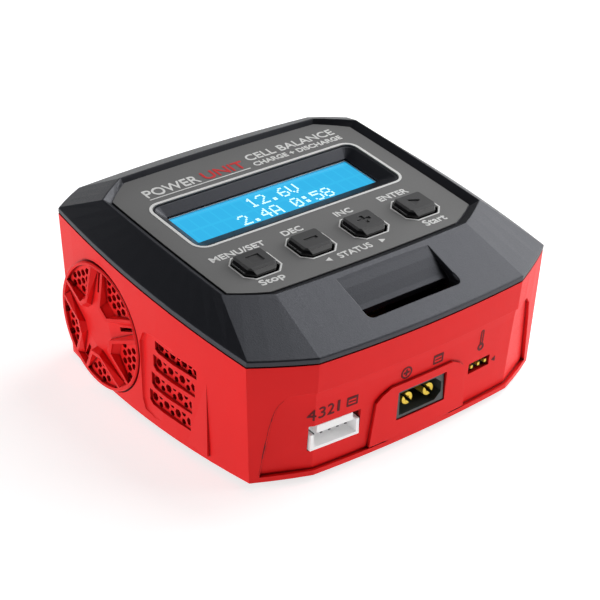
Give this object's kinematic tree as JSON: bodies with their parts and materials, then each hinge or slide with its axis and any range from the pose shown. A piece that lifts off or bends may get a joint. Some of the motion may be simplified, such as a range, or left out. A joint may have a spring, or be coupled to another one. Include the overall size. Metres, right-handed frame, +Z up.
{
  "type": "balance battery charger",
  "caption": "Compact mains-powered balance charger for model battery packs, with a tilted character display, press keys, battery ports and a fan grille.",
  "frame": {"origin": "on the ground under the middle of the case, at the bottom of the rubber feet", "axes": "+Z up, ports and keys towards -Y, mains inlet towards +Y, fan grille towards -X"},
  "size_m": [0.1064, 0.0992, 0.0519],
  "materials": {
    "case_red": "satin moulded plastic with a fine texture",
    "cover_black": "matt moulded plastic with a fine texture",
    "overlay_print": "matt printed film",
    "key_plastic": "glossy bevels and matt tops",
    "display_glass": "blue backlit character display",
    "light_guide": "milky clear plastic",
    "steel": "zinc plated",
    "circuit_board": "green solder resist over glass laminate",
    "black_epoxy": "matt moulded housing",
    "white_nylon": "natural white nylon",
    "gold_plate": "gold flash over brass",
    "tin_plate": "tin plate over brass",
    "dark_nylon": "dark grey-green nylon",
    "ferrite": "sintered ferrite",
    "taped_winding": "copper wire under yellow tape",
    "capacitor_sleeve": "sleeved aluminium can",
    "fuse_glass": "clear glass tube with metal caps",
    "heatsink_aluminium": "plain extrusion",
    "rubber": "soft black rubber"
  },
  "bodies": {
    "charger": {"lower_case": "case_red", "top_cover": "cover_black", "label_overlay": "overlay_print", "foot_front_left": "rubber", "foot_front_right": "rubber", "foot_rear_left": "rubber", "foot_rear_right": "rubber", "switch_stop": "black_epoxy", "switch_decrease": "black_epoxy", "switch_increase": "black_epoxy", "switch_enter": "black_epoxy", "fan_frame": "black_epoxy", "sensor_header": "black_epoxy", "power_transistor": "black_epoxy", "buzzer": "black_epoxy", "lcd_glass": "display_glass", "lcd_backlight": "light_guide", "lcd_bezel": "steel", "board_screw_left": "steel", "board_screw_right": "steel", "case_screw_front_left": "steel", "case_screw_front_right": "steel", "case_screw_rear_left": "steel", "case_screw_rear_right": "steel", "display_board": "circuit_board", "main_board": "circuit_board", "balance_socket": "white_nylon", "ribbon_cable": "white_nylon", "balance_pin_1": "tin_plate", "balance_pin_2": "tin_plate", "balance_pin_3": "tin_plate", "balance_pin_4": "tin_plate", "balance_pin_5": "tin_plate", "mains_pin_live": "tin_plate", "mains_pin_neutral": "tin_plate", "output_pin_positive": "gold_plate", "output_pin_negative": "gold_plate", "sensor_pin_1": "gold_plate", "sensor_pin_2": "gold_plate", "sensor_pin_3": "gold_plate", "output_connector": "dark_nylon", "mains_inlet": "dark_nylon", "transformer_core": "ferrite", "transformer_winding": "taped_winding", "mains_choke": "taped_winding", "output_inductor": "taped_winding", "mains_capacitor": "capacitor_sleeve", "output_capacitor": "capacitor_sleeve", "fuse": "fuse_glass", "heatsink": "heatsink_aluminium"},
    "stop_key": {"key_stop": "key_plastic", "plunger_stop": "rubber"},
    "decrease_key": {"key_decrease": "key_plastic", "plunger_decrease": "rubber"},
    "increase_key": {"key_increase": "key_plastic", "plunger_increase": "rubber"},
    "enter_key": {"key_enter": "key_plastic", "plunger_enter": "rubber"},
    "fan": {"fan_rotor": "black_epoxy"}
  },
  "joints": [
    {"name": "stop_key_press", "type": "slide", "parent": "charger", "child": "stop_key", "axis": [0, 0.1045, -0.9945], "range_m": [0, 0.0006], "stiffness_N_per_m": 800},
    {"name": "decrease_key_press", "type": "slide", "parent": "charger", "child": "decrease_key", "axis": [0, 0.1045, -0.9945], "range_m": [0, 0.0006], "stiffness_N_per_m": 800},
    {"name": "increase_key_press", "type": "slide", "parent": "charger", "child": "increase_key", "axis": [0, 0.1045, -0.9945], "range_m": [0, 0.0006], "stiffness_N_per_m": 800},
    {"name": "enter_key_press", "type": "slide", "parent": "charger", "child": "enter_key", "axis": [0, 0.1045, -0.9945], "range_m": [0, 0.0006], "stiffness_N_per_m": 800},
    {"name": "fan_spin", "type": "hinge", "parent": "charger", "child": "fan", "pos_m": [-0.0426, 0.02, 0.0208], "axis": [1, 0, 0], "continuous": true}
  ]
}
